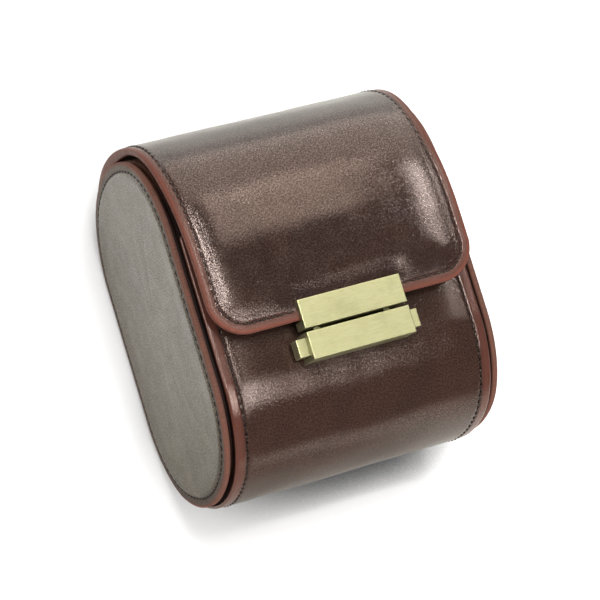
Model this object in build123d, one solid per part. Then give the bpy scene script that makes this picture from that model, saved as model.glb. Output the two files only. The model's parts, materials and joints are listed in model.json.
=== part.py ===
"""Single watch roll: a leather case with a hinged flap, a squeeze clasp and a lift-out cushion.

Units are millimetres. The model is drawn about the centre of its oval section: X runs along the
roll from the left cap to the right cap, Y runs up towards the crest and Z runs out through the
front wall and the clasp. Every solid is then moved so that the case lies on its back on Z = 0,
with the origin under the middle of its bounding box.
"""

import os
from math import atan2, cos, degrees, radians, sin

from build123d import *

# Oval cap outline: straight sides, two corner arcs and one crown arc at each end. The crown
# rises above the level that the corner arcs alone would reach.
CAP_HALF_HEIGHT = 57.5
CAP_HALF_DEPTH = 42.0
CAP_CORNER_RADIUS = 32.0
CAP_CROWN_RISE = 2.0
CAP_STRAIGHT_HALF = CAP_HALF_HEIGHT - CAP_CORNER_RADIUS - CAP_CROWN_RISE

# Clearances.
GLUE_LINE = 0.3
RUNNING_GAP = 0.3

# Layers along the roll.
WRAP_HALF_WIDTH = 44.5
GROOVE_WIDTH = 1.25
CAP_THICKNESS = 1.9
WELT_THICKNESS = 1.55
END_BOARD_THICKNESS = 2.0
END_LINING_THICKNESS = 0.6
CAP_INNER_X = WRAP_HALF_WIDTH + GROOVE_WIDTH
CAP_OUTER_X = CAP_INNER_X + CAP_THICKNESS
WELT_INNER_X = CAP_INNER_X - WELT_THICKNESS
SHELL_HALF_WIDTH = WELT_INNER_X - END_BOARD_THICKNESS
CAVITY_HALF_WIDTH = SHELL_HALF_WIDTH - END_LINING_THICKNESS
CAP_EDGE_ROUND = 0.5
GROOVE_DEPTH = 2.5

# Layers of the wrapped wall, from the outside in, as offsets from the cap outline.
WRAP_RISE = 1.4
LEATHER_THICKNESS = 1.3
BOARD_THICKNESS = 2.2
LINING_THICKNESS = 0.5
LEATHER_INNER = WRAP_RISE - LEATHER_THICKNESS
BOARD_OUTER = LEATHER_INNER - GLUE_LINE
BOARD_INNER = BOARD_OUTER - BOARD_THICKNESS
LINING_OUTER = BOARD_INNER - GLUE_LINE
LINING_INNER = LINING_OUTER - LINING_THICKNESS
END_LINING_OFFSET = LINING_INNER - RUNNING_GAP
MARGIN_WIDTH = 3.8
MARGIN_DROP = 0.7

# Mouth of the case: the turned leather on the front wall's top edge and on the rear edge.
WALL_TOP = CAP_STRAIGHT_HALF
EDGE_THICKNESS = LEATHER_THICKNESS
HINGE_ANGLE = 14.0
REAR_EDGE_LEAD = 1.0
TAIL_START_LAG = 0.9
TAIL_PEAK_LAG = 2.2
REAR_EDGE_ANGLE = HINGE_ANGLE - REAR_EDGE_LEAD
TAIL_START_ANGLE = HINGE_ANGLE + TAIL_START_LAG
TAIL_PEAK_ANGLE = HINGE_ANGLE + TAIL_PEAK_LAG
TAIL_PEAK_RISE = 3.7
TAIL_END_ANGLE = 75.0

# Flap. Its front stands clear of the wall, and its low edge is placed above the wall's lower bend.
FLAP_OVERHANG = 0.2
FLAP_HALF_WIDTH = WRAP_HALF_WIDTH + FLAP_OVERHANG
FLAP_THICKNESS = 2.4
FLAP_INNER = WRAP_RISE + RUNNING_GAP
FLAP_OUTER = FLAP_INNER + FLAP_THICKNESS
FLAP_SKIN = 0.9
FLAP_LINING_THICKNESS = 0.4
FLAP_BOARD_THICKNESS = FLAP_THICKNESS - FLAP_SKIN - FLAP_LINING_THICKNESS - 2 * GLUE_LINE
FLAP_RIM = 2.2
FLAP_EDGE_RISE = 11.1
FLAP_LOW_EDGE = FLAP_EDGE_RISE - CAP_STRAIGHT_HALF
FLAP_LOW_CORNER = 12.0
FLAP_STAND = 5.2
FLAP_FRONT = CAP_HALF_DEPTH + FLAP_STAND
FLAP_FLARE_ANGLE = 50.0
FLAP_ROOT_INSET = 2.5
FLAP_SURFACE = FLAP_FRONT + FLAP_OUTER
FLAP_UNDERSIDE = FLAP_FRONT + FLAP_INNER

# Clasp: the plate on the flap and the lock on the front wall share one face level and width.
PLATE_HALF_WIDTH = 17.45
PLATE_THICKNESS = 2.1
PLATE_FACE = FLAP_SURFACE + PLATE_THICKNESS
PLATE_LAP = 6.0
SKIRT_DROP = 3.2
SKIRT_DEPTH = 7.4
UPPER_PLATE_TOP = FLAP_LOW_EDGE + PLATE_LAP
UPPER_PLATE_LOW = FLAP_LOW_EDGE - SKIRT_DROP
CLASP_GAP = 1.1
LOCK_HEIGHT = 8.8
LOCK_WALL = 0.8
LOCK_ROOF = 1.0
LOCK_BASE_THICKNESS = 1.0
LOCK_TOP = UPPER_PLATE_LOW - CLASP_GAP
LOCK_LOW = LOCK_TOP - LOCK_HEIGHT
WALL_SURFACE = CAP_HALF_DEPTH + WRAP_RISE
WALL_INSIDE = CAP_HALF_DEPTH + LINING_INNER
LOCK_BASE_TOP = WALL_SURFACE + LOCK_BASE_THICKNESS
METAL_EDGE = 0.3

# Hooks on the flap plate and the slots they enter.
HOOK_INSET = 5.45
HOOK_CENTRE_X = PLATE_HALF_WIDTH - HOOK_INSET
HOOK_WIDTH = 2.0
HOOK_LENGTH = 3.0
HOOK_RISE = 3.0
HOOK_LOW = WALL_SURFACE + HOOK_RISE
HOOK_THICKNESS = 1.8
HOOK_TIP = UPPER_PLATE_LOW - HOOK_LENGTH
SLOT_RISE = 3.2

# Push buttons: tab, stop shoulder, bar and catch nose.
BUTTON_TRAVEL = 2.0
BUTTON_OUT = 3.25
BUTTON_OFFSET = 0.2
BUTTON_CENTRE_Y = (LOCK_TOP + LOCK_LOW) / 2 + BUTTON_OFFSET
BUTTON_HEIGHT = 5.6
BUTTON_FOOT = BUTTON_CENTRE_Y - BUTTON_HEIGHT / 2
BUTTON_LIFT = 0.8
BUTTON_LOW = LOCK_BASE_TOP + BUTTON_LIFT
BUTTON_THICKNESS = 5.4
NECK_CLEARANCE = 0.6
NECK_X = HOOK_CENTRE_X + HOOK_WIDTH / 2 + BUTTON_TRAVEL + NECK_CLEARANCE
SHOULDER_LENGTH = 2.35
SHOULDER_CLEARANCE = 0.5
SHOULDER_TOP = PLATE_FACE - LOCK_ROOF - SHOULDER_CLEARANCE
HOOK_TIP_CLEARANCE = 0.8
BAR_TOP = HOOK_TIP - HOOK_TIP_CLEARANCE
BAR_END_X = 6.2
NOSE_CLEARANCE = 0.4
NOSE_OUTER_X = HOOK_CENTRE_X - HOOK_WIDTH / 2 - NOSE_CLEARANCE
NOSE_TOP = LOCK_TOP - LOCK_WALL - NOSE_CLEARANCE
NOSE_LENGTH = 2.2
NOSE_THICKNESS = 1.7

# Springs between the buttons and the post on the lock base.
POST_HALF_WIDTH = 1.2
POST_RISE = 6.0
COIL_RADIUS = 1.3
COIL_WIRE_RADIUS = 0.2
COIL_TURNS = 5

# Rivets and backing plates.
RIVET_RADIUS = 1.0
RIVET_HEAD_RADIUS = 2.0
RIVET_HEAD_THICKNESS = 0.6
RIVET_INSET = 8.45
RIVET_X = PLATE_HALF_WIDTH - RIVET_INSET
RIVET_XS = (-RIVET_X, RIVET_X)
RIVET_CLINCH_RADIUS = 1.6
RIVET_CLINCH_THICKNESS = 0.5
PLATE_RIVET_Y = (UPPER_PLATE_TOP + FLAP_LOW_EDGE) / 2
RIVET_SOCKET_DEPTH = 1.4
BACKING_THICKNESS = 0.8
BACKING_END_INSET = 3.45
BACKING_SIDE_INSET = 0.1
BACKING_HALF_WIDTH = PLATE_HALF_WIDTH - BACKING_END_INSET
BACKING_HALF_HEIGHT = PLATE_LAP / 2 - BACKING_SIDE_INSET

# Watch cushion, lying on the back lining.
CUSHION_END_GAP = 1.1
CUSHION_HALF_LENGTH = CAVITY_HALF_WIDTH - CUSHION_END_GAP
CUSHION_HALF_HEIGHT = 31.0
CUSHION_HALF_DEPTH = 23.0
CUSHION_CORNER_RADIUS = 15.0
CUSHION_CROWN_RISE = 4.0
CUSHION_SKIN = 1.2
CUSHION_CENTRE_Z = RUNNING_GAP + CUSHION_HALF_DEPTH - WALL_INSIDE

# From the section's centre to the part's frame.
FRAME_SHIFT = Pos(0, (WRAP_RISE - FLAP_OUTER) / 2, WALL_SURFACE)
FAR = 200.0


def polar(centre, radius, angle):
    """Point at an angle in degrees, from +Y towards +Z, about a centre in the section."""
    return (
        centre[0] + radius * cos(radians(angle)),
        centre[1] + radius * sin(radians(angle)),
    )


class Oval:
    """Oval made of straight sides, corner arcs and crown arcs that all meet tangentially."""

    def __init__(self, half_height, half_depth, corner_radius, crown_rise):
        shoulder = corner_radius + crown_rise
        side = half_depth - corner_radius
        self.half_depth = half_depth
        self.straight_half = half_height - shoulder
        self.corner_radius = corner_radius
        self.crown_radius = (side**2 + shoulder**2 - corner_radius**2) / (2 * crown_rise)
        self.crown_centre = (half_height - self.crown_radius, 0)
        self.front_centre = (self.straight_half, side)
        self.back_centre = (self.straight_half, -side)
        self.join = degrees(atan2(side, self.straight_half - self.crown_centre[0]))

    def face(self, offset=0.0):
        """The oval grown by an offset, as a face in the section plane."""
        corner = self.corner_radius + offset
        crown = self.crown_radius + offset
        depth = self.half_depth + offset
        bend = 90 - self.join
        edges = []
        for turn in (0, 180):
            spin = Rot(0, 0, turn)
            edges.append(spin * CenterArc(self.back_centre, corner, -90, bend))
            edges.append(spin * CenterArc(self.crown_centre, crown, -self.join, 2 * self.join))
            edges.append(spin * CenterArc(self.front_centre, corner, self.join, bend))
            edges.append(spin * Line((self.straight_half, depth), (-self.straight_half, depth)))
        return make_face([edge for part in edges for edge in part.edges()])

    def ring(self, outer, inner):
        return self.face(outer) - self.face(inner)


CAP = Oval(CAP_HALF_HEIGHT, CAP_HALF_DEPTH, CAP_CORNER_RADIUS, CAP_CROWN_RISE)
CUSHION = Oval(
    CUSHION_HALF_HEIGHT, CUSHION_HALF_DEPTH, CUSHION_CORNER_RADIUS, CUSHION_CROWN_RISE
)
HINGE = polar(CAP.crown_centre, CAP.crown_radius + FLAP_INNER + FLAP_THICKNESS / 2, -HINGE_ANGLE)


def prism(face, low_x, high_x):
    """A section face run along the roll from low_x to high_x."""
    return extrude(Plane.YZ.offset(low_x) * face, high_x - low_x, dir=(1, 0, 0))


def block(low, high):
    """Box between two opposite corners."""
    size = [b - a for a, b in zip(low, high)]
    return Pos(*low) * Box(*size, align=(Align.MIN, Align.MIN, Align.MIN))


def pin(x, y, low_z, high_z, radius):
    """Round pin standing along Z."""
    return Pos(x, y, low_z) * Cylinder(
        radius, high_z - low_z, align=(Align.CENTER, Align.CENTER, Align.MIN)
    )


def sector(outer, inner, low_angle, high_angle):
    """Slice of the crown's ring between two angles."""
    centre = CAP.crown_centre
    far = CAP.crown_radius + outer
    near = CAP.crown_radius + inner
    sweep = high_angle - low_angle
    return make_face(
        [
            CenterArc(centre, far, low_angle, sweep),
            Line(polar(centre, far, high_angle), polar(centre, near, high_angle)),
            CenterArc(centre, near, low_angle, sweep),
            Line(polar(centre, near, low_angle), polar(centre, far, low_angle)),
        ]
    )


def mouth(wall_top, rear_angle):
    """Everything in front of and above the mouth, to be cut from the wall's ring."""
    corner = polar(CAP.crown_centre, FAR, -rear_angle)
    outline = Polyline(
        (wall_top, FAR),
        (FAR, FAR),
        corner,
        CAP.crown_centre,
        (wall_top, 0),
        close=True,
    )
    return make_face(outline.edges())


def wall_layer(outer, inner, inset):
    """One layer of the wall that runs from the front, under the bottom and up the back."""
    inset_angle = degrees(inset / CAP.crown_radius)
    return CAP.ring(outer, inner) - mouth(WALL_TOP - inset, REAR_EDGE_ANGLE + inset_angle)


def tail():
    """Thicker leather behind the crest, where the flap's leather runs down the back.

    Its front end leans back so that the flap can open past the crest without meeting it.
    """
    low = WRAP_RISE - LEATHER_THICKNESS / 2
    crown = CAP.crown_centre
    back = CAP.back_centre
    crown_low = CAP.crown_radius + low
    corner_low = CAP.corner_radius + low
    start_low = polar(crown, crown_low, -TAIL_START_ANGLE)
    start = polar(crown, CAP.crown_radius + WRAP_RISE, -TAIL_START_ANGLE)
    peak = polar(crown, CAP.crown_radius + TAIL_PEAK_RISE, -TAIL_PEAK_ANGLE)
    end = polar(back, CAP.corner_radius + WRAP_RISE, -TAIL_END_ANGLE)
    end_low = polar(back, corner_low, -TAIL_END_ANGLE)
    heading = (sin(radians(TAIL_END_ANGLE)), cos(radians(TAIL_END_ANGLE)))
    return make_face(
        [
            TangentArc(end, peak, tangent=heading),
            Line(peak, start),
            Line(start, start_low),
            CenterArc(crown, crown_low, -CAP.join, CAP.join - TAIL_START_ANGLE),
            CenterArc(back, corner_low, -TAIL_END_ANGLE, TAIL_END_ANGLE - CAP.join),
            Line(end_low, end),
        ]
    )


def drill(solid, xs, y, low_z, high_z):
    """Rivet holes through a solid along Z."""
    for x in xs:
        solid -= pin(x, y, low_z, high_z, RIVET_RADIUS + RUNNING_GAP)
    return solid


def through_wall(solid):
    """Holes for the two lock rivets in the front wall."""
    return drill(solid, RIVET_XS, BUTTON_CENTRE_Y, 0, PLATE_FACE)


def press_margins(skin):
    """Slopes the leather down from the stitching to both of its outer edges."""
    reach = WRAP_HALF_WIDTH + GROOVE_WIDTH
    below = prism(CAP.face(WRAP_RISE - LEATHER_THICKNESS / 4), -reach, reach)
    for side in (-1, 1):
        end = skin.faces().sort_by(Axis.X)[-1 if side > 0 else 0]
        rim = [edge for edge in end.edges() if not below.is_inside(edge @ 0.5)]
        skin = chamfer(rim, MARGIN_DROP, MARGIN_WIDTH, reference=end)
    return skin


def body_leather():
    """Outer leather with its turned mouth edges and its pressed-down stitching margins."""
    skin = prism(wall_layer(WRAP_RISE, LEATHER_INNER, 0), -WRAP_HALF_WIDTH, WRAP_HALF_WIDTH)
    skin += prism(tail(), -WRAP_HALF_WIDTH, WRAP_HALF_WIDTH)
    skin = press_margins(skin)
    skin += block(
        (-SHELL_HALF_WIDTH, WALL_TOP - EDGE_THICKNESS, WALL_INSIDE),
        (SHELL_HALF_WIDTH, WALL_TOP, WALL_SURFACE),
    )
    edge_angle = degrees(EDGE_THICKNESS / CAP.crown_radius)
    rear_face = sector(
        WRAP_RISE, LINING_INNER, -REAR_EDGE_ANGLE - edge_angle, -REAR_EDGE_ANGLE
    )
    skin += prism(rear_face, -SHELL_HALF_WIDTH, SHELL_HALF_WIDTH)
    return through_wall(skin)


def shell_board():
    layer = wall_layer(BOARD_OUTER, BOARD_INNER, EDGE_THICKNESS)
    return through_wall(prism(layer, -SHELL_HALF_WIDTH, SHELL_HALF_WIDTH))


def shell_lining():
    layer = wall_layer(LINING_OUTER, LINING_INNER, EDGE_THICKNESS)
    return through_wall(prism(layer, -SHELL_HALF_WIDTH, SHELL_HALF_WIDTH))


def end_pieces():
    """Lining, board, welt and stitched leather of the right-hand cap, from the inside out."""
    cap = prism(CAP.face(), CAP_INNER_X, CAP_OUTER_X)
    rim = cap.faces().sort_by(Axis.X)[-1].edges()
    return {
        "end_lining": prism(CAP.face(END_LINING_OFFSET), CAVITY_HALF_WIDTH, SHELL_HALF_WIDTH),
        "end_board": prism(CAP.face(BOARD_OUTER), SHELL_HALF_WIDTH, WELT_INNER_X),
        "welt": prism(CAP.face(-GROOVE_DEPTH), WELT_INNER_X, CAP_INNER_X),
        "cap_leather": fillet(rim, CAP_EDGE_ROUND),
    }


def flap_path(offset, low_y, root_angle):
    """Edges of the flap's line at one offset, from its low edge to its root, and their ends."""
    flare = radians(FLAP_FLARE_ANGLE)
    side = CAP.front_centre[1]
    reach = FLAP_FRONT - side - CAP.corner_radius * sin(flare)
    radius = reach / (1 - sin(flare))
    centre = polar(CAP.front_centre, CAP.corner_radius - radius, FLAP_FLARE_ANGLE)
    level = FLAP_FRONT + offset
    edges = [
        Line((low_y, level), (centre[0], level)),
        CenterArc(centre, radius + offset, FLAP_FLARE_ANGLE, 90 - FLAP_FLARE_ANGLE),
        CenterArc(
            CAP.front_centre, CAP.corner_radius + offset, CAP.join, FLAP_FLARE_ANGLE - CAP.join
        ),
        CenterArc(
            CAP.crown_centre, CAP.crown_radius + offset, -root_angle, CAP.join + root_angle
        ),
    ]
    root = polar(CAP.crown_centre, CAP.crown_radius + offset, -root_angle)
    return edges, (low_y, level), root


def flap_sheet(outer, inner, inset, root_angle, round_root=False):
    """A curved layer of the flap, drawn in from its outline, with rounded low corners."""
    low_y = FLAP_LOW_EDGE + inset
    outer_edges, outer_low, outer_root = flap_path(outer, low_y, root_angle)
    inner_edges, inner_low, inner_root = flap_path(inner, low_y, root_angle)
    if round_root:
        tip = polar(HINGE, (outer - inner) / 2, -90 - root_angle)
        root = ThreePointArc(outer_root, tip, inner_root)
    else:
        root = Line(outer_root, inner_root)
    face = make_face(outer_edges + [root] + inner_edges + [Line(outer_low, inner_low)])
    half_width = FLAP_HALF_WIDTH - inset
    sheet = prism(face, -half_width, half_width)
    corners = sheet.edges().filter_by(Axis.Z).sort_by(Axis.Y)[:2]
    return fillet(corners, FLAP_LOW_CORNER - inset)


def through_flap(solid):
    """Holes for the two rivets that hold the clasp plate."""
    return drill(solid, RIVET_XS, PLATE_RIVET_Y, WALL_SURFACE, PLATE_FACE)


def flap_leather():
    """Leather turned round the flap's edges, with a pocket for its board and lining."""
    whole = flap_sheet(FLAP_OUTER, FLAP_INNER, 0, HINGE_ANGLE, round_root=True)
    inset_angle = HINGE_ANGLE - degrees(FLAP_ROOT_INSET / CAP.crown_radius)
    pocket = flap_sheet(FLAP_OUTER - FLAP_SKIN, 0, FLAP_RIM, inset_angle)
    return through_flap(whole - pocket)


def flap_filling(outer, inner):
    """A layer inside the flap's pocket, clear of the turned rim."""
    root_angle = HINGE_ANGLE - degrees((FLAP_ROOT_INSET + GLUE_LINE) / CAP.crown_radius)
    return through_flap(flap_sheet(outer, inner, FLAP_RIM + GLUE_LINE, root_angle))


def flap_board():
    outer = FLAP_OUTER - FLAP_SKIN - GLUE_LINE
    return flap_filling(outer, outer - FLAP_BOARD_THICKNESS)


def flap_lining():
    return flap_filling(FLAP_INNER + FLAP_LINING_THICKNESS, FLAP_INNER)


def face_edges(solid):
    """The four edges round a plate's front face."""
    return solid.faces().sort_by(Axis.Z)[-1].edges()


def clasp_plate():
    """Plate on the flap, with a skirt that drops below the leather's low edge."""
    plate = block(
        (-PLATE_HALF_WIDTH, UPPER_PLATE_LOW, FLAP_SURFACE),
        (PLATE_HALF_WIDTH, UPPER_PLATE_TOP, PLATE_FACE),
    )
    plate += block(
        (-PLATE_HALF_WIDTH, UPPER_PLATE_LOW, PLATE_FACE - SKIRT_DEPTH),
        (PLATE_HALF_WIDTH, FLAP_LOW_EDGE - RUNNING_GAP, PLATE_FACE),
    )
    plate = fillet(face_edges(plate), METAL_EDGE)
    socket_top = FLAP_SURFACE + RIVET_SOCKET_DEPTH
    return drill(plate, RIVET_XS, PLATE_RIVET_Y, FLAP_SURFACE, socket_top)


def hook():
    """Right-hand hook, reaching from the skirt into the lock."""
    low_x = HOOK_CENTRE_X - HOOK_WIDTH / 2
    return block(
        (low_x, UPPER_PLATE_LOW - HOOK_LENGTH, HOOK_LOW),
        (low_x + HOOK_WIDTH, UPPER_PLATE_LOW, HOOK_LOW + HOOK_THICKNESS),
    )


def clasp_backing():
    low_y = PLATE_RIVET_Y - BACKING_HALF_HEIGHT
    high_y = PLATE_RIVET_Y + BACKING_HALF_HEIGHT
    plate = block(
        (-BACKING_HALF_WIDTH, low_y, FLAP_UNDERSIDE - BACKING_THICKNESS),
        (BACKING_HALF_WIDTH, high_y, FLAP_UNDERSIDE),
    )
    return through_flap(plate)


def clasp_rivet():
    """Right-hand rivet through the flap, headed inside and seated in the plate's socket."""
    head_top = FLAP_UNDERSIDE - BACKING_THICKNESS
    shank_top = FLAP_SURFACE + RIVET_SOCKET_DEPTH
    rivet = pin(RIVET_X, PLATE_RIVET_Y, head_top, shank_top, RIVET_RADIUS)
    rivet += pin(
        RIVET_X, PLATE_RIVET_Y, head_top - RIVET_HEAD_THICKNESS, head_top, RIVET_HEAD_RADIUS
    )
    return rivet


def lock_base():
    """Plate on the front wall with the post that both springs push against."""
    base = block(
        (-PLATE_HALF_WIDTH, LOCK_LOW, WALL_SURFACE), (PLATE_HALF_WIDTH, LOCK_TOP, LOCK_BASE_TOP)
    )
    base += block(
        (-POST_HALF_WIDTH, BUTTON_FOOT, LOCK_BASE_TOP),
        (POST_HALF_WIDTH, BAR_TOP, LOCK_BASE_TOP + POST_RISE),
    )
    return through_wall(base)


def lock_housing():
    """Box over the buttons, open to the base, with side windows and hook slots."""
    outer_low = (-PLATE_HALF_WIDTH, LOCK_LOW, LOCK_BASE_TOP)
    housing = block(outer_low, (PLATE_HALF_WIDTH, LOCK_TOP, PLATE_FACE))
    housing = fillet(face_edges(housing), METAL_EDGE)
    inner_x = PLATE_HALF_WIDTH - LOCK_WALL
    housing -= block(
        (-inner_x, LOCK_LOW + LOCK_WALL, LOCK_BASE_TOP),
        (inner_x, LOCK_TOP - LOCK_WALL, PLATE_FACE - LOCK_ROOF),
    )
    window_half = BUTTON_HEIGHT / 2 + RUNNING_GAP
    window_top = BUTTON_LOW + BUTTON_THICKNESS + RUNNING_GAP
    housing -= block(
        (-PLATE_HALF_WIDTH, BUTTON_CENTRE_Y - window_half, LOCK_BASE_TOP),
        (PLATE_HALF_WIDTH, BUTTON_CENTRE_Y + window_half, window_top),
    )
    slot_half = HOOK_WIDTH / 2 + RUNNING_GAP
    for centre in (-HOOK_CENTRE_X, HOOK_CENTRE_X):
        housing -= block(
            (centre - slot_half, LOCK_TOP - LOCK_WALL, HOOK_LOW - RUNNING_GAP),
            (centre + slot_half, LOCK_TOP, HOOK_LOW + HOOK_THICKNESS + SLOT_RISE),
        )
    return housing


def button():
    """Right-hand push button: tab, stop shoulder, bar and catch nose."""
    top = BUTTON_LOW + BUTTON_THICKNESS
    tab_x = PLATE_HALF_WIDTH + BUTTON_OUT
    shoulder_x = PLATE_HALF_WIDTH - LOCK_WALL - RUNNING_GAP
    tab = block((NECK_X, BUTTON_FOOT, BUTTON_LOW), (tab_x, BUTTON_FOOT + BUTTON_HEIGHT, top))
    tab = fillet(tab.faces().sort_by(Axis.X)[-1].edges(), METAL_EDGE)
    tab += block(
        (shoulder_x - SHOULDER_LENGTH, BUTTON_FOOT, BUTTON_LOW + BUTTON_THICKNESS / 2),
        (shoulder_x, BAR_TOP, SHOULDER_TOP),
    )
    tab += block((BAR_END_X, BUTTON_FOOT, BUTTON_LOW), (NECK_X, BAR_TOP, top))
    tab += block(
        (NOSE_OUTER_X - NOSE_LENGTH, BAR_TOP, top - NOSE_THICKNESS),
        (NOSE_OUTER_X, NOSE_TOP, top),
    )
    return tab


def spring():
    """Right-hand coil between the post and the button's bar."""
    length = BAR_END_X - POST_HALF_WIDTH - 2 * RUNNING_GAP - 2 * COIL_WIRE_RADIUS
    start_x = POST_HALF_WIDTH + RUNNING_GAP + COIL_WIRE_RADIUS
    path = Helix(length / COIL_TURNS, length, COIL_RADIUS)
    wire = sweep(Plane(path @ 0, z_dir=path % 0) * Circle(COIL_WIRE_RADIUS), path=path)
    centre_y = (BUTTON_FOOT + BAR_TOP) / 2
    return Pos(start_x, centre_y, BUTTON_LOW + BUTTON_THICKNESS / 2) * Rot(0, 90, 0) * wire


def lock_backing():
    """Plate inside the front wall, kept to the wall's flat part."""
    plate = block(
        (-BACKING_HALF_WIDTH, -CAP_STRAIGHT_HALF, WALL_INSIDE - BACKING_THICKNESS),
        (BACKING_HALF_WIDTH, BUTTON_CENTRE_Y + BACKING_HALF_HEIGHT, WALL_INSIDE),
    )
    return through_wall(plate)


def lock_rivet():
    """Right-hand rivet through the front wall, clinched on the lock base."""
    head_top = WALL_INSIDE - BACKING_THICKNESS
    rivet = pin(RIVET_X, BUTTON_CENTRE_Y, head_top, LOCK_BASE_TOP, RIVET_RADIUS)
    rivet += pin(
        RIVET_X, BUTTON_CENTRE_Y, head_top - RIVET_HEAD_THICKNESS, head_top, RIVET_HEAD_RADIUS
    )
    rivet += pin(
        RIVET_X,
        BUTTON_CENTRE_Y,
        LOCK_BASE_TOP,
        LOCK_BASE_TOP + RIVET_CLINCH_THICKNESS,
        RIVET_CLINCH_RADIUS,
    )
    return rivet


def cushion_pieces():
    """Suede tube round a foam core; the end disc is the right-hand one."""
    tube_end = CUSHION_HALF_LENGTH - CUSHION_SKIN
    core = prism(CUSHION.face(-CUSHION_SKIN - GLUE_LINE), -tube_end, tube_end)
    cover = prism(CUSHION.ring(0, -CUSHION_SKIN), -tube_end, tube_end)
    end = prism(CUSHION.face(), tube_end, CUSHION_HALF_LENGTH)
    seat = Pos(0, 0, CUSHION_CENTRE_Z)
    return {
        "cushion_core": seat * core,
        "cushion_cover": seat * cover,
        "cushion_end": seat * end,
    }


def assemble():
    """Every node by name; right-hand pieces are mirrored to the left."""
    cushion = cushion_pieces()
    pairs = dict(end_pieces())
    pairs["button"] = button()
    pairs["button_spring"] = spring()
    pairs["hook"] = hook()
    pairs["clasp_rivet"] = clasp_rivet()
    pairs["lock_rivet"] = lock_rivet()
    pairs["cushion_end"] = cushion.pop("cushion_end")
    nodes = {
        "body_leather": body_leather(),
        "shell_board": shell_board(),
        "shell_lining": shell_lining(),
        "flap_leather": flap_leather(),
        "flap_board": flap_board(),
        "flap_lining": flap_lining(),
        "clasp_plate": clasp_plate(),
        "clasp_backing_plate": clasp_backing(),
        "lock_base_plate": lock_base(),
        "lock_housing": lock_housing(),
        "lock_backing_plate": lock_backing(),
    }
    nodes.update(cushion)
    for name, solid in pairs.items():
        nodes[f"right_{name}"] = solid
        nodes[f"left_{name}"] = mirror(solid, Plane.YZ)
    return nodes


for node, shape in assemble().items():
    export_step(FRAME_SHIFT * shape, f"parts/{node}.step")
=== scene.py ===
"""Single watch roll: leather, stitching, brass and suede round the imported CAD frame.

Shapes are drawn in millimetres about the centre of the oval section, as the CAD source draws
them: X along the roll, Y up to the crest, Z out through the clasp. place() moves them to the
frame and to metres.
"""

import json
from math import atan2, cos, degrees, hypot, pi, radians, sin

import bmesh
import bpy
import numpy as np
from mathutils import Matrix, Vector

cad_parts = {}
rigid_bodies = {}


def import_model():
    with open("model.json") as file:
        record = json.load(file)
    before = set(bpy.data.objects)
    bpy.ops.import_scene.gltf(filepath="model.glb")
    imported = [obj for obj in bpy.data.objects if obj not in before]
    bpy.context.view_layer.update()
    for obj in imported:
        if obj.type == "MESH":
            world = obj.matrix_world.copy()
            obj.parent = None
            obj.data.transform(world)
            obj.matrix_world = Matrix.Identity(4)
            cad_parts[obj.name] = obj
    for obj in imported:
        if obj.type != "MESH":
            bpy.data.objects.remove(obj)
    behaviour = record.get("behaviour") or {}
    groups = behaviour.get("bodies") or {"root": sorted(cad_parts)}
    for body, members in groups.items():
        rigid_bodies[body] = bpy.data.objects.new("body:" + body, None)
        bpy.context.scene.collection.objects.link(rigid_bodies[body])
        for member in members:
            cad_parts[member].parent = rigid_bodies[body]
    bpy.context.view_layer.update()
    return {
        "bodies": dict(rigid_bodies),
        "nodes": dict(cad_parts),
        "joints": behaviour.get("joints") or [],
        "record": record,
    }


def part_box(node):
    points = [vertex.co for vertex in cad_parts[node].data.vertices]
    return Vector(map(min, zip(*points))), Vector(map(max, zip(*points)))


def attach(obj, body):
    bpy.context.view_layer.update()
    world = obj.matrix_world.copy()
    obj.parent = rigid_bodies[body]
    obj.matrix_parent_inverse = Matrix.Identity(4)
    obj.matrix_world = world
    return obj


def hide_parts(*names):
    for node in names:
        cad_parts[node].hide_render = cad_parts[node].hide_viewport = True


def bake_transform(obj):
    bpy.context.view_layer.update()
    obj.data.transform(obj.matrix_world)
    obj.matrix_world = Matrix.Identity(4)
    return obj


MM = 0.001
SIDES = ((-1, "left"), (1, "right"))
FRAME_SHIFT = np.array((0.0, -1.35, 43.4))

# Section and layers, as in the CAD source.
CORNER = 32.0
CROWN = 58.0
CROWN_Y = -0.5
CORNER_Y = 23.5
CORNER_Z = 10.0
HALF_DEPTH = 42.0
JOIN = 22.62
WRAP_RISE = 1.4
LEATHER_THICKNESS = 1.3
WRAP_HALF_WIDTH = 44.5
SHELL_HALF_WIDTH = 42.2
LINING_INNER = -3.2
FLAP_HALF_WIDTH = 44.7
FLAP_RISE = 4.1
FLAP_THICKNESS = 2.4
FLAP_FRONT = 47.2
FLARE_ANGLE = 50.0
FLARE_RADIUS = (FLAP_FRONT - CORNER_Z - CORNER * sin(radians(FLARE_ANGLE))) / (
    1 - sin(radians(FLARE_ANGLE))
)
FLARE_CENTRE = (
    CORNER_Y + (CORNER - FLARE_RADIUS) * cos(radians(FLARE_ANGLE)),
    CORNER_Z + (CORNER - FLARE_RADIUS) * sin(radians(FLARE_ANGLE)),
)
FLAP_LOW_EDGE = -12.4
FLAP_LOW_CORNER = 12.0
MOUTH_CORNER = 1.6
HINGE_ANGLE = 14.0
TAIL_ANGLE = 75.0
CAP_INNER_X = 45.75
CAP_OUTER_X = 47.65
CAP_THICKNESS = CAP_OUTER_X - CAP_INNER_X
PLATE_HALF_WIDTH = 17.45
CUSHION_Z = -15.5
CUSHION_HALF_WIDTH = 40.5
CUSHION_HALF_DEPTH = 23.0
CUSHION_SEAM_X = CUSHION_HALF_WIDTH - 1.2
CUSHION_UNDERSIDE = CUSHION_Z - CUSHION_HALF_DEPTH + 0.02

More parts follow.
